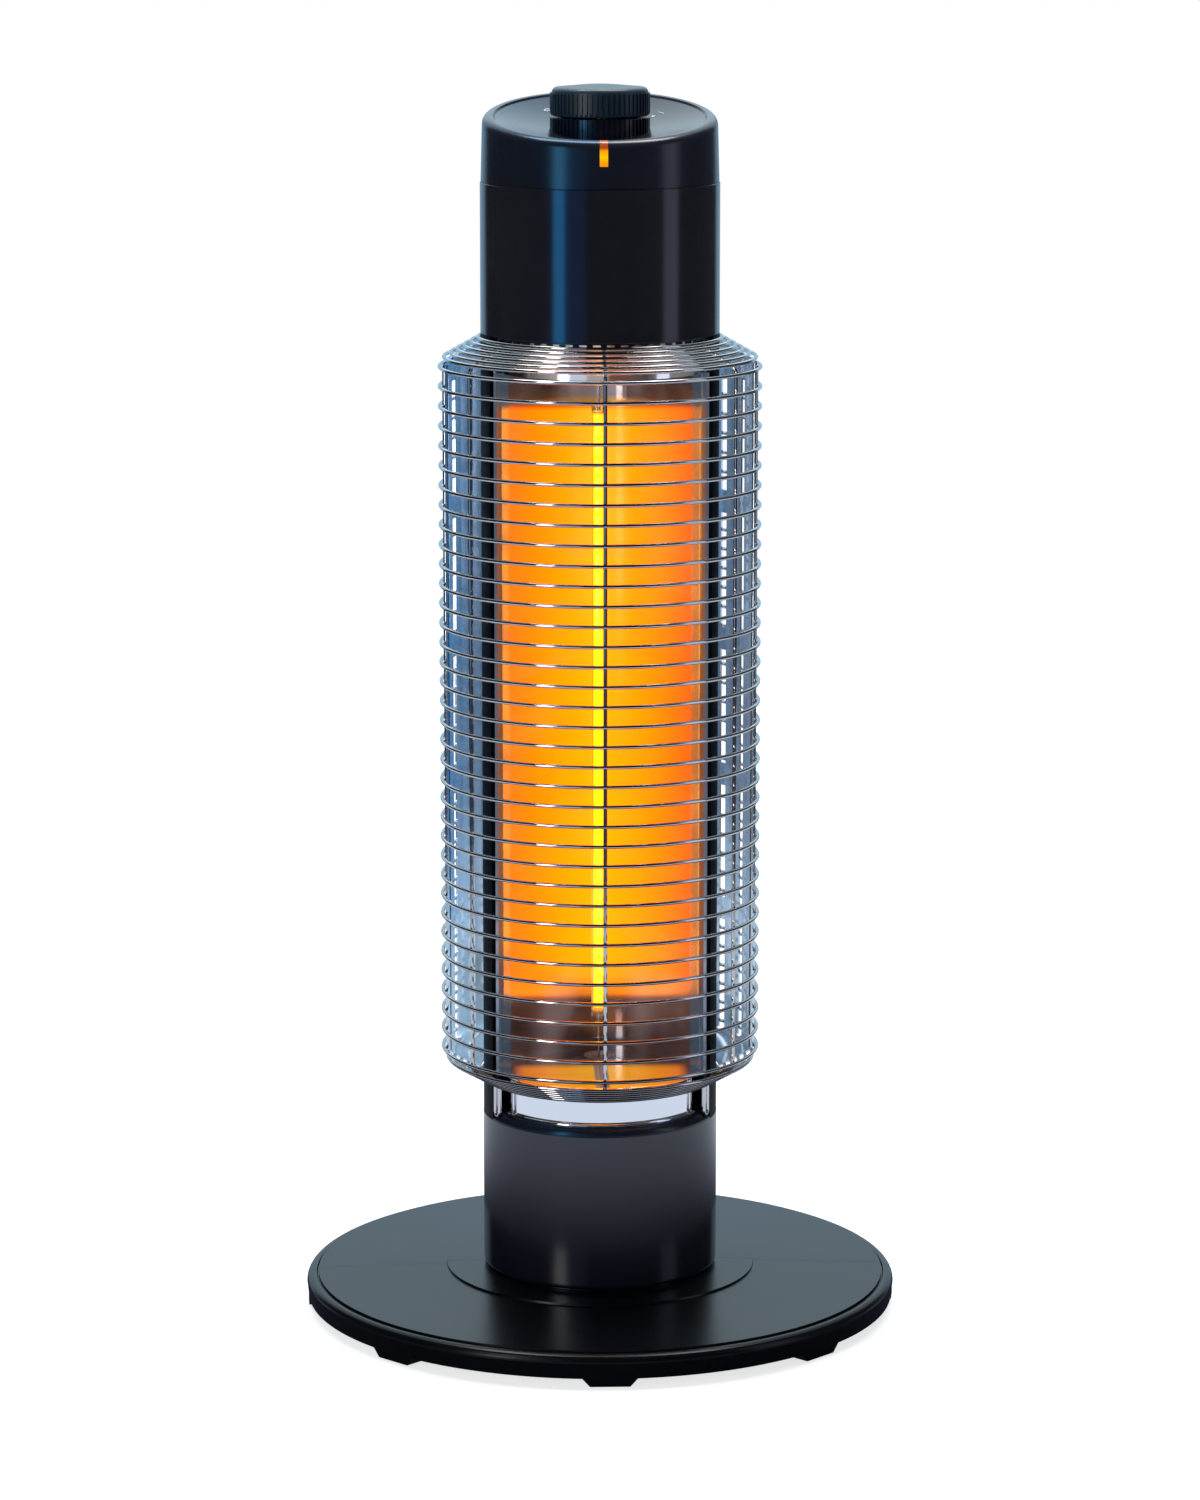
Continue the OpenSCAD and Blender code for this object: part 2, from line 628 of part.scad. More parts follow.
module upper_bulkhead() color(steel) difference() {
    translate([0, 0, sleeve_bottom]) cylinder(r = tower_in - 0.1, h = bulkhead_t);
    translate([0, duct_y, sleeve_bottom - 1]) cylinder(r = 4.4, h = bulkhead_t + 2);
    translate([0, tube_back, sleeve_bottom - 1]) cylinder(r = 6.2, h = bulkhead_t + 2);
}

module thermal_fuse() color(brass) translate([-20, 10, sleeve_bottom + bulkhead_t]) {
    cylinder(r = 8, h = 1);
    cylinder(r = 6.2, h = 6);
    for (s = [-1, 1]) translate([s * 3 - 1, -0.4, 6]) cube([2, 0.8, 6]);
}

module upper_terminal_block() color(ceramic) translate([-14, duct_y - 7, sleeve_bottom + bulkhead_t]) difference() {
    cube([28, 13, 9]);
    for (i = [-1:1]) translate([14 + 8 * i, 6.5, 5]) cylinder(r = 2, h = 5);
}

// Plain sleeve with softened edges, its top bored out for the cap's spigot
module upper_housing() color(black) rotate_extrude() polygon(concat(
    [[tower_in, sleeve_bottom], [sleeve_r - 0.3, sleeve_bottom], [sleeve_r, sleeve_bottom + 0.3]],
    arc([sleeve_r - 0.5, cap_seam - 0.5], 0.5, 0, 90, 4),
    [[tower_in + 0.7, cap_seam], [tower_in + 0.7, cap_seam - 2.5], [tower_in, cap_seam - 2.5]]));

// Height of the dished top at radius r, before the slope is put in
function dish_z(r) = dish_edge - dish_depth * (1 - pow(r / dish_r, 2));

// Section of the cap's shell. The third number says how much of the slope a point takes.
cap_section = concat(
    [[cap_r, cap_seam + 0.3, 0], [cap_top_r, lip_z - fillet, 1]],
    [for (p = arc([lip_r, lip_z - fillet], fillet, 18, 90, 4)) [p[0], p[1], 1]],
    [[dish_r + 0.7, lip_z - 0.15, 1]],
    [for (i = [6:-1:0]) let (r = 18 + (dish_r - 18) * i / 6) [r, dish_z(r), 1]],
    [[18, dish_z(18) - cap_wall, 1], [dish_r * 0.7, dish_z(dish_r * 0.7) - cap_wall, 1],
     [dish_r - 1, dish_edge - cap_wall - 1.2, 1], [cap_top_r - cap_wall, lip_z - fillet - 2, 1],
     [cap_r - cap_wall, cap_seam + 0.3, 0]]);

// The cap's shell: a round wall, level at the seam, with the front low and the rear high
module cap_shell() {
    n = 90;
    m = len(cap_section);
    points = [for (i = [0:n - 1], p = cap_section) let (a = 360 / n * (i + 0.5))
        [p[0] * cos(a), p[0] * sin(a), p[1] + p[2] * tan(top_slope) * p[0] * sin(a)]];
    faces = [for (i = [0:n - 1], k = [0:m - 1])
        let (j = (i + 1) % n, l = (k + 1) % m, a = i * m + k, b = i * m + l, c = j * m + l, d = j * m + k)
        each [[a, b, c], [a, c, d]]];
    polyhedron(points, faces);
}

module ribbed(r, h) linear_extrude(height = h) union() {
    circle(r = r - rib_depth);
    for (i = [0:rib_count - 1]) rotate([0, 0, 360 / rib_count * i])
        translate([r - rib_depth - 0.3, -0.5]) square([rib_depth + 0.3, 1.0]);
}

module lens_space(c) translate([-lens_w / 2 - c, -tower_r - 3, lens_low - c])
    cube([lens_w + 2 * c, 12.2 + c, 30]);

module top_cap() color(black) {
    difference() {
        union() {
            cap_shell();
            translate([0, 0, boss_low]) ribbed(knob_r, boss_top - boss_low);
        }
        lens_space(gap);
        translate([0, 0, boss_low - 1]) cylinder(r = bush_r + gap, h = 30);
        translate([0, 0, boss_top - 6]) cylinder(r = 17, h = 10);
    }
    // spigot that centres the cap in the upper housing
    ring(tower_in + 0.6, tower_in - 1.3, 3.3, cap_seam - 2.5);
}

module pilot_lens() color([1.0, 0.55, 0.1]) intersection() {
    cap_shell();
    lens_space(0);
}

// Neon lamp in a clear holder, close behind the lens
module pilot_lamp() color([1.0, 0.45, 0.15]) translate([0, -tower_r + 7.2, 507]) rotate([-90, 0, 0]) {
    cylinder(r = 2.4, h = 9);
    sphere(r = 2.4);
    translate([0, 0, 9]) cylinder(r = 3.4, h = 3);
    translate([-2, 2.2, 9]) cube([4, 1.2, tower_r - 7.2 - 9 - 15.05]);
}

// ---------------------------------------------------------------- switch and knob

module rotary_switch() color([0.16, 0.16, 0.17]) difference() {
    union() {
        translate([-15, -15, boss_low - 20]) cube([30, 30, 18]);
        translate([0, 0, boss_low - 2]) cylinder(r = 12, h = 2);
        translate([0, 0, boss_low]) cylinder(r = bush_r, h = 10.4);
        for (x = [-9, -3, 3, 9]) translate([x - 1, -0.4, boss_low - 27]) cube([2, 0.8, 7.5]);
    }
    translate([0, 0, boss_low - 12]) cylinder(r = shaft_r + gap, h = 40);
}

module switch_nut() color(brass) translate([0, 0, boss_top - 6]) difference() {
    cylinder(r = 8.4, h = 2.6, $fn = 6);
    translate([0, 0, -1]) cylinder(r = bush_r + gap, h = 5);
}

module knob_shaft() color(brass) difference() {
    translate([0, 0, boss_low - 11.9]) cylinder(r = shaft_r, h = knob_high - 4.2 - boss_low + 11.9);
    rotate([0, 0, pointer_angle]) translate([shaft_flat, -5, knob_low]) cube([5, 10, 20]);
}

// Moulded knob: ribbed band, domed top with a pointer, open underside with a hub
module knob() color(satin_black) difference() {
    union() {
        intersection() {
            translate([0, 0, knob_low]) ribbed(knob_r, knob_rib_top - knob_low);
            rotate_extrude() polygon(concat(
                [[0, knob_low], [knob_r - 1.9, knob_low]],
                arc([knob_r - 1.9, knob_low + 1.9], 1.9, -75, 0, 5),
                [[knob_r + 0.01, knob_rib_top + 1], [0, knob_rib_top + 1]]));
        }
        rotate_extrude() polygon(concat(
            [[0, knob_low + 3], [knob_r - rib_depth - 0.1, knob_low + 3]],
            arc([knob_r - rib_depth - 2.9, knob_rib_top - 0.2], 2.8, 0, 68, 6),
            arc([0, knob_high - 104], 104, 90 - 7.2, 90, 5)));
    }
    difference() {
        translate([0, 0, knob_low - 1]) cylinder(r = knob_r - 3.4, h = knob_rib_top - knob_low - 0.4);
        cylinder(r = 6.5, h = knob_high);
    }
    difference() {
        translate([0, 0, knob_low - 1]) cylinder(r = shaft_r + gap, h = knob_high - 2.9 - knob_low);
        rotate([0, 0, pointer_angle]) translate([shaft_flat + gap, -5, knob_low - 2]) cube([5, 10, 20]);
    }
    rotate([0, 0, pointer_angle]) translate([14, -0.6, knob_high - 2.6]) cube([4.6, 1.2, 3]);
}

base_front_half();
base_rear_half();
ballast_plate();
foot_pads();
base_screws();
column_foot();
column_screws();
lower_housing();
lower_trim_ring();
lower_bulkhead();
cord_gland();
tip_plunger();
plunger_spring();
plunger_bracket();
tip_switch();
lower_terminal_block();
lower_pan();
lower_tube_holder();
quartz_tube();
heating_coil();
tube_leads();
reflector_trough();
upper_collar();
upper_tube_holder();
wiring_duct();
supply_wires();
left_post();
right_post();
rear_shell();
guard_rings_low();
guard_rings_middle();
guard_rings_high();
guard_top_rings();
guard_bottom_rings();
guard_uprights();
guard_legs();
vent_ring();
upper_bulkhead();
thermal_fuse();
upper_terminal_block();
upper_housing();
top_cap();
pilot_lens();
pilot_lamp();
rotary_switch();
switch_nut();
knob_shaft();
knob();
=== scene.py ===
"""Looks for the tower halogen heater: finishes, the glow of the tube, and the fine pieces."""

import json
import math

import bpy
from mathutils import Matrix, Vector
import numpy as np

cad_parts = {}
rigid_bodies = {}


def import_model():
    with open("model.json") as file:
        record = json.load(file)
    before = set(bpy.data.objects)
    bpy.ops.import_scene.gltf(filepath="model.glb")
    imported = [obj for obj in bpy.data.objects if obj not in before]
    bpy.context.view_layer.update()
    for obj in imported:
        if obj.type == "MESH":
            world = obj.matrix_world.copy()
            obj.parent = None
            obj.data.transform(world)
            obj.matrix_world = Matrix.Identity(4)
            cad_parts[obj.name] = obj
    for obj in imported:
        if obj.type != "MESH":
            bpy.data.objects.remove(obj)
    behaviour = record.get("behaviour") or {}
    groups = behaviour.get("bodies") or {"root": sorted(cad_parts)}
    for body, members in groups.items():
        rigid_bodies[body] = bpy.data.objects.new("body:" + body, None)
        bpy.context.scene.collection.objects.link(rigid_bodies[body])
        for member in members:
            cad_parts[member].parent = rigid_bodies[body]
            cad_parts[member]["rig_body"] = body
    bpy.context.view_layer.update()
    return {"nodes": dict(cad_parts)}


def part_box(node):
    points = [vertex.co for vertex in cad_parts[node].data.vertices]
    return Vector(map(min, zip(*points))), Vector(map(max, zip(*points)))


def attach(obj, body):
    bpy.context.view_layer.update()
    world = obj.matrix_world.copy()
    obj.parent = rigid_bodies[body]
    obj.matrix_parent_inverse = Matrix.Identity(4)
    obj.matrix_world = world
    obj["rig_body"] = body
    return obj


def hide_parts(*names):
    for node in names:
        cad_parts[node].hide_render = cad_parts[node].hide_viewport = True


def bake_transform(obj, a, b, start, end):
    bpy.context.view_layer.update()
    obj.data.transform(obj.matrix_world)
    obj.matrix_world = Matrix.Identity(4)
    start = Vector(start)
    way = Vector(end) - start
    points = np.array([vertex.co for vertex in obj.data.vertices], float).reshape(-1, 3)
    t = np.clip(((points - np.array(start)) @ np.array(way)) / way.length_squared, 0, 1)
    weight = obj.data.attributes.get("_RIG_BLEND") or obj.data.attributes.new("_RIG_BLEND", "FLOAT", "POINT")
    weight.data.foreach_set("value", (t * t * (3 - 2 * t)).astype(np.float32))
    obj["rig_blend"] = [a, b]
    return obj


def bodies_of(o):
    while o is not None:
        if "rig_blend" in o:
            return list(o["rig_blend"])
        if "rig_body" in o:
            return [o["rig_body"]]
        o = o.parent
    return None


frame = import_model()
NODES = frame["nodes"]
MM = 0.001

# ---------------------------------------------------------------- places taken from the frame

tube_low, tube_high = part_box("quartz_tube")
trough_low, trough_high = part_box("reflector_trough")
coil_low, coil_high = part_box("heating_coil")
_, cap_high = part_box("top_cap")
_, shell_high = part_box("rear_shell")

TUBE_Y = (tube_low.y + tube_high.y) / 2

# The trough is a parabola of thin sheet, open to the front, with a flange along each edge.
TROUGH_SHEET = 0.7 * MM
TROUGH_DEEPEST = trough_high.y - TROUGH_SHEET
TROUGH_MOUTH = trough_low.y + TROUGH_SHEET
MOUTH_HALF = 44.7 * MM

# The coil's light, painted into the trough's emission and colour, fills the trough between these heights, and
# this far from its middle.
GLOW_TOP = 397 * MM
GLOW_TOP_EDGE = 4 * MM
GLOW_FOOT = 150 * MM
GLOW_FOOT_EDGE = 15 * MM
GLOW_HALF = 40.5 * MM
GLOW_SIDE_EDGE = 2 * MM

# The pan's plate carries the trough's foot. This much of it holds a painted reflection of the light in the
# trough.
PLATE_TOP = trough_low.z
PLATE_FRONT = -45.2 * MM
PLATE_RIM = 1.2 * MM
IMAGE_BACK = -10 * MM
IMAGE_BACK_EDGE = 12 * MM
IMAGE_HALF = 33 * MM
IMAGE_SIDE_EDGE = 7 * MM

# The painted light on the shell's hollow side changes from blue at the left to grey at the right within this
# half width, and pales down to its foot.
SHELL_HALF = 25 * MM
SHELL_PALES_FROM = 190 * MM
SHELL_FOOT = 118 * MM

# The lens is lit on its upright wall, and dark where it turns over the cap's lip.
LENS_FOOT = 504 * MM
LENS_LIP = 516 * MM

# Painted blue light: what the black lacquer mirrors is tinted blue on the left, fading to neutral from left
# to right between these places.
PAINTED_LIGHT_LEFT = -12 * MM
PAINTED_LIGHT_RIGHT = 14 * MM


# ---------------------------------------------------------------- finishes


class Patterns:
    """Short ways to add nodes to a material or to the world. All patterns follow one set of coordinates."""

    def __init__(self, tree, coordinates):
        self.nodes = tree.nodes
        self.links = tree.links
        self.place = self.nodes.new("ShaderNodeTexCoord").outputs[coordinates]

    def join(self, source, target):
        self.links.new(source, target)

    def axes(self):
        node = self.nodes.new("ShaderNodeSeparateXYZ")
        self.join(self.place, node.inputs["Vector"])
        return node.outputs["X"], node.outputs["Y"], node.outputs["Z"]

    def maths(self, operation, *values):
        """A Math node on one or two values, each of them a socket or a number."""
        node = self.nodes.new("ShaderNodeMath")
        node.operation = operation
        for socket, value in zip(node.inputs, values):
            if isinstance(value, (int, float)):
                socket.default_value = value
            else:
                self.join(value, socket)
        return node.outputs["Value"]

    def times(self, product, *factors):
        """The product of some values."""
        for factor in factors:
            product = self.maths("MULTIPLY", product, factor)
        return product

    def from_axis(self):
        """How far a point lies from the heater's upright axis."""
        x, y, _ = self.axes()
        return self.maths("SQRT", self.maths("ADD", self.times(x, x), self.times(y, y)))

    def spread(self, source, low, high):
        """source, moved so that 0 to 1 becomes low to high."""
        node = self.nodes.new("ShaderNodeMapRange")
        node.inputs["To Min"].default_value = low
        node.inputs["To Max"].default_value = high
        self.join(source, node.inputs["Value"])
        return node.outputs["Result"]

    def between(self, source, start, end):
        """0 where source is at start, 1 where it is at end, smooth between them."""
        node = self.nodes.new("ShaderNodeMapRange")
        node.interpolation_type = "SMOOTHSTEP"
        node.inputs["From Min"].default_value = start
        node.inputs["From Max"].default_value = end
        self.join(source, node.inputs["Value"])
        return node.outputs["Result"]

    def ramp(self, source, *stops):
        """A colour that follows source. Each stop is (position, colour)."""
        node = self.nodes.new("ShaderNodeValToRGB")
        self.join(source, node.inputs["Fac"])
        bar = node.color_ramp.elements
        while len(bar) < len(stops):
            bar.new(0.5)
        for element, (position, colour) in zip(bar, stops):
            element.position = position
            element.color = (*colour, 1)
        return node.outputs["Color"]

    def blend(self, factor, low, high):
        """The colour low where factor is 0, and high where it is 1."""
        node = self.nodes.new("ShaderNodeMix")
        node.data_type = "RGBA"
        self.join(factor, node.inputs["Factor"])
        for socket, colour in ((node.inputs["A"], low), (node.inputs["B"], high)):
            if isinstance(colour, tuple):
                socket.default_value = (*colour, 1)
            else:
                self.join(colour, socket)
        return node.outputs["Result"]


class Finish(Patterns):
    """A material with one Principled shader, on Object coordinates."""

    def __init__(self, name, colour, roughness, metallic=0.0, **sockets):
        self.material = bpy.data.materials.new(name)
        self.material.use_nodes = True
        super().__init__(self.material.node_tree, "Object")
        self.shader = self.nodes["Principled BSDF"]
        self.set("Base Color", (*colour, 1))
        self.set("Roughness", roughness)
        self.set("Metallic", metallic)
        for socket, value in sockets.items():
            self.set(socket.replace("_", " "), value)

    def set(self, socket, value):
        self.shader.inputs[socket].default_value = value

    def drive(self, socket, source):
        self.join(source, self.shader.inputs[socket])

    def noise(self, scale, detail=3.0, rough=0.5, stretch=(1, 1, 1)):
        """Noise that is finer along an axis with a larger stretch, and drawn out along a smaller one."""
        mapping = self.nodes.new("ShaderNodeMapping")
        mapping.inputs["Scale"].default_value = stretch
        self.join(self.place, mapping.inputs["Vector"])
        node = self.nodes.new("ShaderNodeTexNoise")
        node.inputs["Scale"].default_value = scale
        node.inputs["Detail"].default_value = detail
        node.inputs["Roughness"].default_value = rough
        self.join(mapping.outputs["Vector"], node.inputs["Vector"])
        return node.outputs["Fac"]

    def bump(self, height, depth):
        node = self.nodes.new("ShaderNodeBump")
        node.inputs["Distance"].default_value = depth
        node.inputs["Strength"].default_value = 1.0
        self.join(height, node.inputs["Height"])
        self.drive("Normal", node.outputs["Normal"])

    def uneven(self, scale, dark, light, glossy, dull):
        """Colour and roughness that drift slowly over the surface."""
        drift = self.noise(scale, 4.0, 0.6)
        self.drive("Base Color", self.ramp(drift, (0.3, dark), (0.7, light)))
        self.drive("Roughness", self.spread(drift, glossy, dull))

    def painted_side_light(self, left):
        """Painted coloured light: tints what the left side mirrors, and leaves the right side neutral."""
        right = self.between(self.axes()[0], PAINTED_LIGHT_LEFT, PAINTED_LIGHT_RIGHT)
        self.drive("Specular Tint", self.blend(right, left, (1, 1, 1)))


def moulded(name, colour, roughness, grain=0.4, depth=0.02, **sockets):
    """Moulded plastic or rubber: a slow drift of colour, and a fine grain whose sizes are in millimetres."""
    finish = Finish(name, colour, roughness, **sockets)
    dark = tuple(c * 0.85 for c in colour)
    light = tuple(min(1, c * 1.15) for c in colour)
    finish.uneven(25, dark, light, roughness * 0.93, min(1, roughness * 1.08))
    finish.bump(finish.noise(1 / (grain * MM), 2.0), depth * MM)
    return finish


def worked_metal(name, colour, roughness, scale=900, stretch=(1, 1, 1), depth=0.01):
    """Bare metal: fine marks drawn out by stretch, and a slow drift of polish. depth is in millimetres."""
    finish = Finish(name, colour, roughness, metallic=1.0)
    dark = tuple(c * 0.9 for c in colour)
    finish.uneven(40, dark, colour, roughness * 0.8, roughness * 1.25)
    finish.bump(finish.noise(scale, 3.0, 0.6, stretch), depth * MM)
    return finish


STAND = moulded("stand_satin_plastic", (0.0035, 0.0050, 0.0070), 0.25, grain=0.35, depth=0.008,
                Specular_IOR_Level=0.24)
GLOSS = moulded("cap_gloss_black", (0.017, 0.020, 0.032), 0.22, grain=1.5, depth=0.0015)
# Painted blue light on the left of what this gloss mirrors.
GLOSS.painted_side_light((0.10, 0.55, 1.0))
SLEEVE = moulded("sleeve_black_lacquer", (0.024, 0.023, 0.029), 0.15, grain=2.0, depth=0.002)
# Painted blue light on the left of what the sleeve mirrors.
SLEEVE.painted_side_light((0.03, 0.42, 1.0))
DRUM = moulded("drum_black_lacquer", (0.009, 0.009, 0.018), 0.18, grain=2.0, depth=0.002,
               Specular_IOR_Level=0.85)
POST = moulded("post_matt_black", (0.0035, 0.0035, 0.0045), 0.45, grain=0.6, depth=0.004,
               Specular_IOR_Level=0.03)
KNOB = moulded("knob_satin_black", (0.027, 0.058, 0.084), 0.40, grain=0.5, depth=0.01)
RUBBER = moulded("rubber_black", (0.012, 0.012, 0.012), 0.75, grain=0.5, depth=0.03)
SWITCH = moulded("switch_thermoset", (0.03, 0.03, 0.032), 0.5)
NATURAL = moulded("plunger_natural_plastic", (0.72, 0.71, 0.67), 0.4)
SILICONE = moulded("wire_silicone", (0.03, 0.03, 0.033), 0.6)
PRINT = moulded("dial_print_white", (0.78, 0.80, 0.82), 0.5, grain=0.2, depth=0.003)
CERAMIC = moulded("holder_ceramic", (0.74, 0.71, 0.63), 0.35, grain=0.8, depth=0.01)

CHROME = worked_metal("guard_bright_chrome", (0.66, 0.64, 0.63), 0.07, scale=300, depth=0.003)
ZINC = worked_metal("zinc_plated_steel", (0.55, 0.56, 0.57), 0.38)
IRON = worked_metal("weight_cast_iron", (0.16, 0.16, 0.165), 0.6, scale=500, depth=0.05)
BRASS = worked_metal("turned_brass", (0.66, 0.50, 0.22), 0.28, stretch=(1, 1, 8))
NICKEL = worked_metal("nickel_lead", (0.42, 0.40, 0.38), 0.35, scale=1500, stretch=(1, 1, 0.1), depth=0.005)
SPRING_STEEL = worked_metal("spring_steel", (0.5, 0.51, 0.53), 0.3)


def quartz():
    """Clear tube that carries a little of the coil's light along the heated length."""
    finish = Finish("clear_quartz", (1.0, 0.99, 0.97), 0.03, Transmission_Weight=1.0, IOR=1.458,
                    Emission_Strength=0.2)
    z = finish.axes()[2]
    beside_coil = finish.times(finish.between(z, coil_low.z - 1 * MM, coil_low.z + 2 * MM),
                               finish.between(z, coil_high.z + 1 * MM, coil_high.z - 2 * MM))
    finish.drive("Emission Color", finish.ramp(beside_coil, (0.0, (0, 0, 0)), (1.0, (1.0, 0.50, 0.0))))
    finish.bump(finish.noise(90, 2.0, stretch=(1, 1, 0.1)), 0.02 * MM)
    return finish


def glowing_coil():
    """Resistance wire at yellow heat, darker where it leaves the heated length."""
    finish = Finish("coil_yellow_heat", (0.3, 0.1, 0.02), 0.6, Emission_Strength=3.4)
    z = finish.axes()[2]
    flicker = finish.spread(finish.noise(120, 2.0, stretch=(0.1, 0.1, 1)), 0.92, 1.08)
    heat = finish.times(finish.between(z, coil_low.z, coil_low.z + 3 * MM),
                        finish.between(z, coil_high.z, coil_high.z - 2.5 * MM), flicker)
    colour = finish.ramp(heat, (0.0, (0.05, 0.004, 0.001)), (0.45, (0.6, 0.06, 0.001)),
                         (0.9, (1.0, 0.30, 0.0)))
    finish.drive("Emission Color", colour)
    return finish


def trough_front(finish):
    """1 on the inside of the trough and on the front of its flanges, 0 on its back."""
    x, y, _ = finish.axes()
    curve = finish.times(x, x, (TROUGH_DEEPEST - TROUGH_MOUTH) / MOUTH_HALF ** 2)
    behind = finish.maths("ADD", finish.maths("ADD", y, curve), -TROUGH_DEEPEST)
    inside = finish.between(behind, 0.45 * MM, 0.25 * MM)
    flanges = finish.between(y, TROUGH_MOUTH - 0.25 * MM, TROUGH_MOUTH - 0.45 * MM)
    return finish.maths("MAXIMUM", inside, flanges)


def lit_trough():
    """Polished sheet that mirrors the coil over its heated length. Painted reflections: the coil's light over
    that field, in its emission and colour, and a dull room round it.
    """
    finish = Finish("trough_polished_sheet", (0.86, 0.83, 0.80), 0.13, metallic=1.0, Emission_Strength=0.22)
    finish.bump(finish.noise(260, rough=0.6, stretch=(1, 1, 0.05)), 0.003 * MM)
    x, _, z = finish.axes()
    away = finish.maths("ABSOLUTE", x)
    across = finish.maths("DIVIDE", away, GLOW_HALF)
    front = trough_front(finish)
    middle = finish.between(away, GLOW_HALF, GLOW_HALF - GLOW_SIDE_EDGE)
    heated = finish.times(finish.between(z, GLOW_TOP + GLOW_TOP_EDGE, GLOW_TOP),
                          finish.between(z, GLOW_FOOT - GLOW_FOOT_EDGE, GLOW_FOOT))
    streaks = finish.spread(finish.noise(30, rough=0.6, stretch=(0.7, 0.2, 9)), 0.60, 1.25)
    glow = finish.times(middle, heated, front, streaks)

    # Painted reflection in the metal's own colour: orange from the coil over the lit field, bluish and mauve
    # from the room round it.
    coil_tinted_metal = finish.ramp(across, (0.0, (0.62, 0.37, 0.12)), (0.35, (0.60, 0.31, 0.12)),
                            (1.0, (0.50, 0.16, 0.10)))
    room_tinted_metal = finish.ramp(finish.noise(22, 2.0, stretch=(1, 1, 2.5)),
                             (0.35, (0.20, 0.17, 0.18)), (0.65, (0.35, 0.31, 0.32)))
    room_tinted_metal = finish.blend(finish.maths("ADD", middle, heated), (0.16, 0.19, 0.24), room_tinted_metal)
    metal = finish.blend(glow, room_tinted_metal, coil_tinted_metal)
    finish.drive("Base Color", finish.blend(front, (0.80, 0.79, 0.78), metal))

    # Painted reflections in the emission: the coil's light over the lit field, and the room round it.
    coil_light = finish.ramp(across, (0.0, (0.85, 0.50, 0.0)), (0.3, (0.85, 0.36, 0.0)),
                             (0.7, (0.85, 0.20, 0.0)), (1.0, (0.8, 0.12, 0.03)))
    patches = finish.ramp(finish.noise(34, 2.0, stretch=(1, 0.2, 0.5)), (0.32, (0.0, 0.0, 0.0)),
                          (0.48, (0.16, 0.08, 0.07)), (0.64, (0.50, 0.38, 0.38)))
    strip = finish.blend(heated, (0.14, 0.24, 0.36), (0.45, 0.20, 0.18))
    room_light = finish.blend(middle, strip, patches)
    on_flange = finish.between(away, MOUTH_HALF, MOUTH_HALF + 0.3 * MM)
    room_light = finish.blend(on_flange, room_light, (0.34, 0.42, 0.55))
    light = finish.blend(glow, room_light, coil_light)
    finish.drive("Emission Color", finish.blend(front, (0, 0, 0), light))
    return finish


def lit_shell():
    """Polished sheet with painted light on its hollow side: blue at the left, grey at the right, pale at the
    foot.
    """
    finish = worked_metal("shell_polished_steel", (0.74, 0.78, 0.82), 0.10, scale=600, stretch=(1, 1, 0.04),
                          depth=0.004)
    x, _, z = finish.axes()
    hollow = finish.between(finish.from_axis(), shell_high.y - 0.3 * MM, shell_high.y - 0.5 * MM)
    right = finish.between(x, -SHELL_HALF, SHELL_HALF)
    # Painted light, given as emission on the hollow side only.
    light = finish.blend(right, (0.014, 0.060, 0.130), (0.050, 0.060, 0.072))
    light_at_foot = finish.blend(right, (0.10, 0.16, 0.21), (0.03, 0.04, 0.05))
    light = finish.blend(finish.between(z, SHELL_PALES_FROM, SHELL_FOOT), light, light_at_foot)
    drift = finish.spread(finish.noise(25, rough=0.6, stretch=(1, 1, 0.3)), 0.75, 1.25)
    finish.drive("Emission Color", light)
    finish.drive("Emission Strength", finish.times(hollow, drift))
    return finish


def lit_pan():
    """Polished sheet. The front of its plate holds a painted reflection of the lit trough and of the tube, in
    its emission and its colour.
    """
    finish = worked_metal("pan_polished_sheet", (0.88, 0.89, 0.90), 0.09, scale=400, depth=0.004)
    x, y, z = finish.axes()
    away = finish.maths("ABSOLUTE", x)
    image = finish.times(finish.between(y, IMAGE_BACK + IMAGE_BACK_EDGE, IMAGE_BACK),
                         finish.between(y, PLATE_FRONT, PLATE_FRONT + PLATE_RIM),
                         finish.between(away, IMAGE_HALF + IMAGE_SIDE_EDGE, IMAGE_HALF),
                         finish.between(z, PLATE_TOP - 0.3 * MM, PLATE_TOP - 0.1 * MM))
    streaks = finish.spread(finish.noise(60, rough=0.6, stretch=(0.3, 2, 1)), 0.54, 0.864)
    light = finish.ramp(finish.maths("DIVIDE", away, GLOW_HALF),
                        (0.0, (0.22, 0.15, 0.13)), (0.065, (0.26, 0.17, 0.13)),    # the tube's image
                        (0.085, (1.0, 0.44, 0.0)), (0.5, (1.0, 0.34, 0.0)), (1.0, (0.85, 0.16, 0.03)))
    # Painted reflection, also in the plate's own colour.
    finish.drive("Base Color", finish.blend(image, (0.86, 0.87, 0.88), (0.40, 0.20, 0.10)))
    finish.drive("Emission Color", light)
    finish.drive("Emission Strength", finish.times(image, streaks))
    return finish


def lit_collar():
    """Polished sheet. Its front holds a painted reflection of the room: pale left of the middle, warm and
    then dull right of it.
    """
    finish = worked_metal("collar_polished_sheet", (0.84, 0.84, 0.84), 0.09, scale=400, depth=0.004)
    x, y, _ = finish.axes()
    across = finish.maths("ADD", finish.maths("DIVIDE", x, 100 * MM), 0.5)
    light = finish.ramp(across, (0.16, (0, 0, 0)), (0.29, (0.30, 0.29, 0.27)), (0.50, (0.34, 0.30, 0.27)),
                        (0.53, (0.14, 0.06, 0.03)), (0.62, (0.10, 0.05, 0.04)), (0.68, (0.01, 0.01, 0.01)),
                        (0.76, (0.16, 0.16, 0.15)), (0.94, (0.08, 0.08, 0.08)))
    finish.drive("Emission Color", light)
    finish.drive("Emission Strength", finish.between(y, -15 * MM, -30 * MM))
    return finish


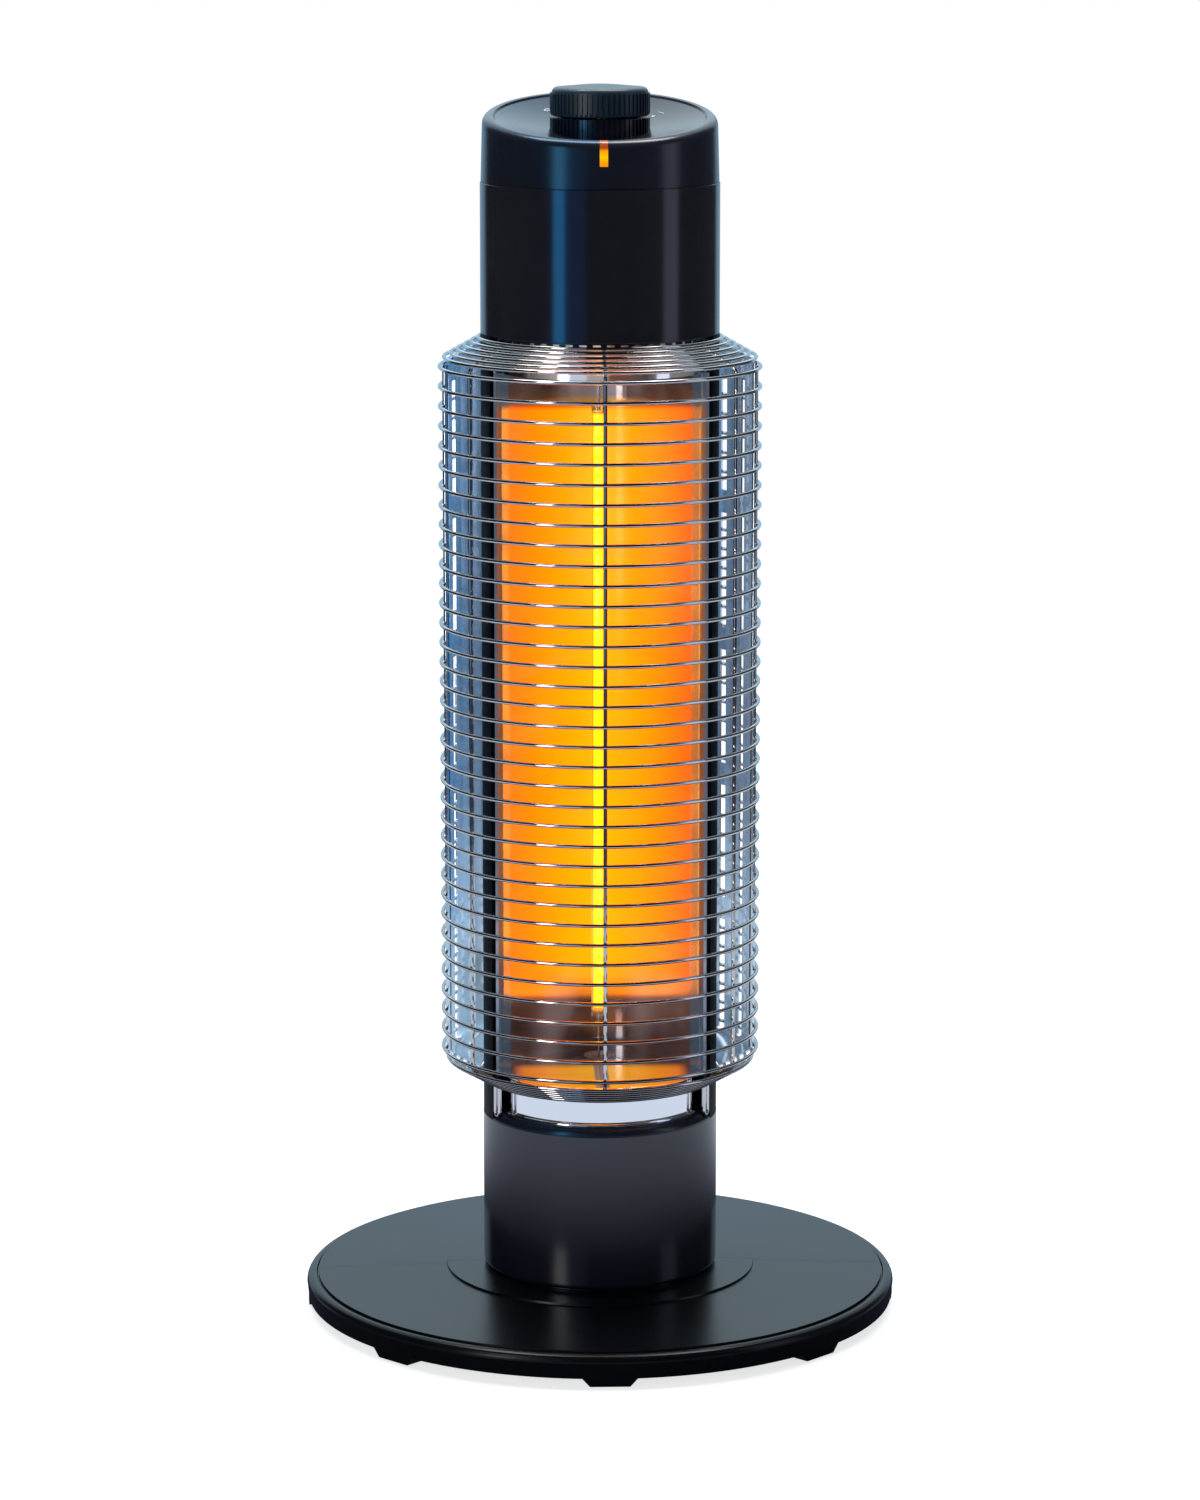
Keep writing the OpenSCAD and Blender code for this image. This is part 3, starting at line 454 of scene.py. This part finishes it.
def amber_lens():
    """Clear amber lens over a lit lamp: bright on the wall, dark over the lip."""
    finish = Finish("amber_lens_lit", (0.40, 0.09, 0.01), 0.12, Emission_Strength=1.0)
    z = finish.axes()[2]
    colour = finish.ramp(finish.between(z, LENS_FOOT, LENS_LIP),
                         (0.0, (0.9, 0.26, 0.0)), (0.3, (1.0, 0.58, 0.0)), (0.6, (1.0, 0.34, 0.0)),
                         (0.75, (0.24, 0.035, 0.008)), (1.0, (0.12, 0.03, 0.015)))
    finish.drive("Emission Color", colour)
    return finish


def neon_lamp():
    """The small lamp behind the lens, orange with brighter specks."""
    finish = Finish("neon_lamp_lit", (1.0, 0.4, 0.1), 0.1, Emission_Strength=1.5)
    glow = finish.ramp(finish.noise(400), (0.3, (1.0, 0.15, 0.01)), (0.7, (1.0, 0.35, 0.03)))
    finish.drive("Emission Color", glow)
    return finish


COIL = glowing_coil()
TROUGH = lit_trough()
LENS = amber_lens()

FINISH_OF_NODE = {
    STAND: ["base_front_half", "base_rear_half"],
    GLOSS: ["top_cap", "lower_trim_ring", "vent_ring"],
    SLEEVE: ["upper_housing"],
    DRUM: ["lower_housing"],
    POST: ["left_post", "right_post"],
    KNOB: ["knob"],
    RUBBER: ["foot_pads", "cord_gland"],
    SWITCH: ["tip_switch", "rotary_switch"],
    NATURAL: ["tip_plunger"],
    SILICONE: ["supply_wires"],
    CERAMIC: ["lower_tube_holder", "upper_tube_holder", "lower_terminal_block", "upper_terminal_block"],
    CHROME: ["guard_rings_low", "guard_rings_middle", "guard_rings_high", "guard_top_rings",
             "guard_bottom_rings", "guard_uprights", "guard_legs"],
    ZINC: ["base_screws", "column_foot", "column_screws", "lower_bulkhead", "upper_bulkhead",
           "plunger_bracket", "wiring_duct"],
    IRON: ["ballast_plate"],
    BRASS: ["thermal_fuse", "switch_nut", "knob_shaft"],
    NICKEL: ["tube_leads"],
    SPRING_STEEL: ["plunger_spring"],
    COIL: ["heating_coil"],
    TROUGH: ["reflector_trough"],
    LENS: ["pilot_lens"],
    quartz(): ["quartz_tube"],
    lit_shell(): ["rear_shell"],
    lit_pan(): ["lower_pan"],
    lit_collar(): ["upper_collar"],
    neon_lamp(): ["pilot_lamp"],
}


def dress(piece, finish):
    """Gives the whole piece this one finish."""
    piece.data.materials.clear()
    piece.data.materials.append(finish.material)


for finish, names in FINISH_OF_NODE.items():
    for name in names:
        dress(NODES[name], finish)


# ---------------------------------------------------------------- pieces that stand for a node


def only(piece):
    """Selects this one object, and makes it the active one."""
    bpy.ops.object.select_all(action="DESELECT")
    piece.select_set(True)
    bpy.context.view_layer.objects.active = piece


def edit(piece):
    """Goes into edit mode with all of this one object selected."""
    only(piece)
    bpy.ops.object.mode_set(mode="EDIT")
    bpy.ops.mesh.select_all(action="SELECT")


def done():
    bpy.ops.object.mode_set(mode="OBJECT")


def apply_modifier(piece, kind, **settings):
    modifier = piece.modifiers.new(kind.lower(), kind)
    for name, value in settings.items():
        setattr(modifier, name, value)
    only(piece)
    bpy.ops.object.modifier_apply(modifier=modifier.name)


def body_of(node):
    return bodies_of(NODES[node])[0]


MERGE_DISTANCE = 0.002 * MM
SHARP_EDGE = math.radians(30)
WIRE_END_EDGE = math.radians(50)


def smooth_copy(node, name, finish):
    """The node's own shape, with its facets shaded as one surface between its sharp edges."""
    piece = NODES[node].copy()
    piece.data = NODES[node].data.copy()
    piece.name = name
    for key in list(piece.keys()):
        del piece[key]
    piece.parent = None
    bpy.context.scene.collection.objects.link(piece)
    only(piece)
    if piece.data.has_custom_normals:
        bpy.ops.mesh.customdata_custom_splitnormals_clear()
    edit(piece)
    bpy.ops.mesh.remove_doubles(threshold=MERGE_DISTANCE)
    bpy.ops.mesh.dissolve_degenerate(threshold=MERGE_DISTANCE)
    done()
    bpy.ops.object.shade_smooth_by_angle(angle=SHARP_EDGE)
    dress(piece, finish)
    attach(piece, body_of(node))
    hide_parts(node)
    return piece


def wound_wire(name, coil_r, wire_r, low, high, turns, sides, steps, centre_y=0.0):
    """A helix of round wire about an upright line, wound up from one circle and closed at both ends."""
    bpy.ops.object.select_all(action="DESELECT")
    bpy.ops.mesh.primitive_circle_add(vertices=sides, radius=wire_r, fill_type="NOTHING",
                                      location=(coil_r, 0, 0), rotation=(math.pi / 2, 0, 0))
    wire = bpy.context.object
    wire.name = name
    bpy.ops.object.transform_apply()
    apply_modifier(wire, "SCREW", axis="Z", angle=2 * math.pi, screw_offset=(high - low) / turns,
                   iterations=turns, steps=steps, render_steps=steps, use_smooth_shade=True)
    edit(wire)
    bpy.ops.transform.translate(value=(0, centre_y, low))
    bpy.ops.mesh.fill_holes(sides=0)
    bpy.ops.mesh.select_all(action="SELECT")
    bpy.ops.mesh.normals_make_consistent(inside=False)
    done()
    bpy.ops.object.shade_smooth_by_angle(angle=WIRE_END_EDGE)
    return wire


COIL_WIRE_RADIUS = 0.36 * MM
SPRING_WIRE_RADIUS = 0.45 * MM


def coil_piece():
    """The glowing coil, wound close and nearly as wide as the bore of its tube."""
    coil_r = (coil_high.x - coil_low.x) / 2
    wire_r = COIL_WIRE_RADIUS
    coil = wound_wire("wound_heating_coil", coil_r - wire_r, wire_r, coil_low.z + wire_r,
                      coil_high.z - wire_r, turns=270, sides=6, steps=12, centre_y=TUBE_Y)
    dress(coil, COIL)
    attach(coil, body_of("heating_coil"))
    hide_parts("heating_coil")


def spring_piece():
    """The plunger's spring, which stretches between the plunger's clip and the bracket."""
    low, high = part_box("plunger_spring")
    wire_r = SPRING_WIRE_RADIUS
    spring = wound_wire("wound_plunger_spring", (high.x - low.x) / 2 - wire_r, wire_r, low.z + wire_r,
                        high.z - wire_r, turns=6, sides=12, steps=36)
    dress(spring, SPRING_STEEL)
    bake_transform(spring, "tip_over_plunger", "tower", start=(0, 0, low.z), end=(0, 0, high.z))
    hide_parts("plunger_spring")


# Each place of the switch: its figure (1 half heat, 2 full heat, 0 off) and its direction in degrees from +X.
DIAL_PLACES = (("1", 36), ("2", 84), ("0", 130))
DIAL_RADIUS = 29 * MM
DIAL_DOT = 0.85 * MM
FIGURE_RADIUS = 33.6 * MM
FIGURE_HEIGHT = 5.2 * MM
PRINT_LIFT = 0.05 * MM
PRINT_THICKNESS = 0.04 * MM


def laid_on_dish(mark, cap):
    """Drops a flat mark on the dished top and gives it the thickness of print."""
    only(mark)
    bpy.ops.object.convert(target="MESH")
    bpy.ops.object.transform_apply()
    apply_modifier(mark, "SHRINKWRAP", target=cap, wrap_method="PROJECT", use_project_z=True,
                   use_negative_direction=True, use_positive_direction=False, offset=PRINT_LIFT)
    apply_modifier(mark, "SOLIDIFY", thickness=PRINT_THICKNESS, offset=0)
    dress(mark, PRINT)
    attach(mark, body_of("top_cap"))


def dial_marks(cap):
    """A dot and a plain figure for each of the switch's three places."""
    above = cap_high.z + 5 * MM
    for figure, degrees in DIAL_PLACES:
        a = math.radians(degrees)
        bpy.ops.object.select_all(action="DESELECT")
        bpy.ops.mesh.primitive_circle_add(vertices=24, radius=DIAL_DOT, fill_type="NGON", location=(
            DIAL_RADIUS * math.cos(a), DIAL_RADIUS * math.sin(a), above))
        dot = bpy.context.object
        dot.name = "dial_dot_" + figure
        laid_on_dish(dot, cap)
        bpy.ops.object.select_all(action="DESELECT")
        bpy.ops.object.text_add(rotation=(0, 0, a), location=(
            FIGURE_RADIUS * math.cos(a), FIGURE_RADIUS * math.sin(a), above))
        text = bpy.context.object
        text.name = "dial_figure_" + figure
        text.data.body = figure
        text.data.size = FIGURE_HEIGHT
        text.data.align_x = "CENTER"
        text.data.align_y = "CENTER"
        text.data.resolution_u = 6
        laid_on_dish(text, cap)


coil_piece()
spring_piece()
smooth_copy("reflector_trough", "folded_trough", TROUGH)
cap_moulding = smooth_copy("top_cap", "cap_moulding", GLOSS)
smooth_copy("pilot_lens", "lens_moulding", LENS)
dial_marks(cap_moulding)


# ---------------------------------------------------------------- studio


FLOOR_SIZE = 3.2


def studio_floor():
    """White to the camera but for the heater's shadow. Metal mirrors it with painted shade: dark near the
    stand, then pale.
    """
    bpy.ops.mesh.primitive_plane_add(size=FLOOR_SIZE)
    floor = bpy.context.object
    floor.name = "studio_floor"
    finish = Finish("studio_floor", (0.50, 0.50, 0.50), 0.9)
    rays = finish.nodes.new("ShaderNodeLightPath").outputs
    away = finish.from_axis()
    lift = finish.nodes.new("ShaderNodeEmission")
    lift.inputs["Color"].default_value = (1, 1, 1, 1)
    strength = finish.spread(finish.between(away, 0.35, 0.8), 0.75, 1.0)    # full beyond the shadow
    finish.join(finish.times(rays["Is Camera Ray"], strength), lift.inputs["Strength"])
    seen = finish.nodes.new("ShaderNodeAddShader")
    finish.join(finish.shader.outputs["BSDF"], seen.inputs[0])
    finish.join(lift.outputs["Emission"], seen.inputs[1])
    # Painted shade: the floor as metal mirrors it, dark near the stand and pale further out.
    pale = finish.ramp(away, (0.17, (0.03, 0.035, 0.05)), (0.21, (0.12, 0.13, 0.17)),
                       (0.25, (0.28, 0.30, 0.37)), (0.30, (0.50, 0.55, 0.66)), (0.36, (0.70, 0.78, 0.92)),
                       (0.8, (0.64, 0.77, 0.89)), (1.0, (0.05, 0.06, 0.08)))    # metres from the axis
    mirrored = finish.nodes.new("ShaderNodeEmission")
    finish.join(pale, mirrored.inputs["Color"])
    choice = finish.nodes.new("ShaderNodeMixShader")
    finish.join(rays["Is Glossy Ray"], choice.inputs[0])
    finish.join(seen.outputs["Shader"], choice.inputs[1])
    finish.join(mirrored.outputs["Emission"], choice.inputs[2])
    finish.join(choice.outputs["Shader"], finish.nodes["Material Output"].inputs["Surface"])
    floor.data.materials.append(finish.material)


LAMPS_AIM = Vector((0, 0, 0.27))


def softbox(name, azimuth, elevation, distance, size, colour, power):
    """An area lamp seen from the heater at azimuth (0 is the front, 90 the right) and elevation."""
    lamp = bpy.data.lights.new(name, "AREA")
    lamp.shape = "RECTANGLE"
    lamp.size, lamp.size_y = size
    lamp.color = colour
    lamp.energy = power
    holder = bpy.data.objects.new(name, lamp)
    bpy.context.scene.collection.objects.link(holder)
    a, e = math.radians(azimuth), math.radians(elevation)
    toward = Vector((math.sin(a) * math.cos(e), -math.cos(a) * math.cos(e), math.sin(e)))
    holder.location = LAMPS_AIM + distance * toward
    holder.rotation_euler = (-toward).to_track_quat("-Z", "Y").to_euler()


def studio_world():
    """White to the camera and through glass. Metal mirrors a pale backdrop, and a dim room elsewhere."""
    world = bpy.data.worlds.new("studio")
    bpy.context.scene.world = world
    world.use_nodes = True
    world.node_tree.nodes.clear()
    sky = Patterns(world.node_tree, "Generated")
    x, y, z = sky.axes()    # of a direction: to the right, to the back and up
    behind = sky.times(sky.between(sky.maths("ABSOLUTE", x), 0.62, 0.50), sky.between(y, 0.0, 0.2))
    room = sky.blend(sky.between(x, 0.45, 0.75), (0.010, 0.012, 0.016), (0.05, 0.055, 0.065))
    backdrop = sky.blend(sky.between(z, 0.10, 0.45), (0.40, 0.62, 0.82), (0.76, 0.92, 1.0))
    mirrored = sky.blend(behind, room, backdrop)
    rays = sky.nodes.new("ShaderNodeLightPath").outputs
    seen = sky.maths("MAXIMUM", rays["Is Camera Ray"], rays["Is Transmission Ray"])
    back = sky.nodes.new("ShaderNodeBackground")
    sky.join(sky.blend(seen, mirrored, (1.0, 1.0, 1.0)), back.inputs["Color"])
    sky.join(back.outputs["Background"], sky.nodes.new("ShaderNodeOutputWorld").inputs["Surface"])


SENSOR_WIDTH = 36                       # millimetres, across the frame's long side
FRAME_HEIGHT = 1500                     # pixels of that side
FOCAL_LENGTH = 4872.4                   # pixels of the same frame
CAMERA_AZIMUTH = math.radians(-1.9)     # a little to the left of the front
CAMERA_DISTANCE = 2.0873                # metres from the heater's axis
CAMERA_HEIGHT = 0.6421                  # metres above the floor
CAMERA_PITCH = math.radians(10.693)     # downwards


def photo_camera():
    """The photograph's camera, fitted to the rings, rims and feet that it shows."""
    data = bpy.data.cameras.new("photo_camera")
    data.lens = FOCAL_LENGTH / FRAME_HEIGHT * SENSOR_WIDTH
    data.sensor_width = SENSOR_WIDTH
    data.clip_start, data.clip_end = 0.05, 50
    camera = bpy.data.objects.new("photo_camera", data)
    bpy.context.scene.collection.objects.link(camera)
    toward = Vector((-math.sin(CAMERA_AZIMUTH), math.cos(CAMERA_AZIMUTH), 0))
    camera.location = -CAMERA_DISTANCE * toward + Vector((0, 0, CAMERA_HEIGHT))
    gaze = toward * math.cos(CAMERA_PITCH) - Vector((0, 0, math.sin(CAMERA_PITCH)))
    camera.rotation_euler = gaze.to_track_quat("-Z", "Y").to_euler()
    bpy.context.scene.camera = camera


bpy.ops.object.select_all(action="DESELECT")
photo_camera()
studio_world()
studio_floor()
softbox("overhead", 180, 77, 1.8, (1.6, 0.55), (1.0, 1.0, 1.0), power=30)
softbox("left_strip", -41, 10, 1.7, (0.34, 1.5), (1.0, 0.97, 0.96), power=7)
softbox("left_fill", -30, 10, 1.75, (0.9, 1.5), (0.35, 0.6, 1.0), power=2.2)
softbox("right_strip", 69, 10, 1.7, (0.5, 1.5), (0.66, 0.74, 1.0), power=2.4)
softbox("back_glow", 180, 34, 1.9, (1.4, 1.1), (0.72, 0.90, 1.0), power=2.6)

bpy.context.scene.view_settings.view_transform = "Standard"
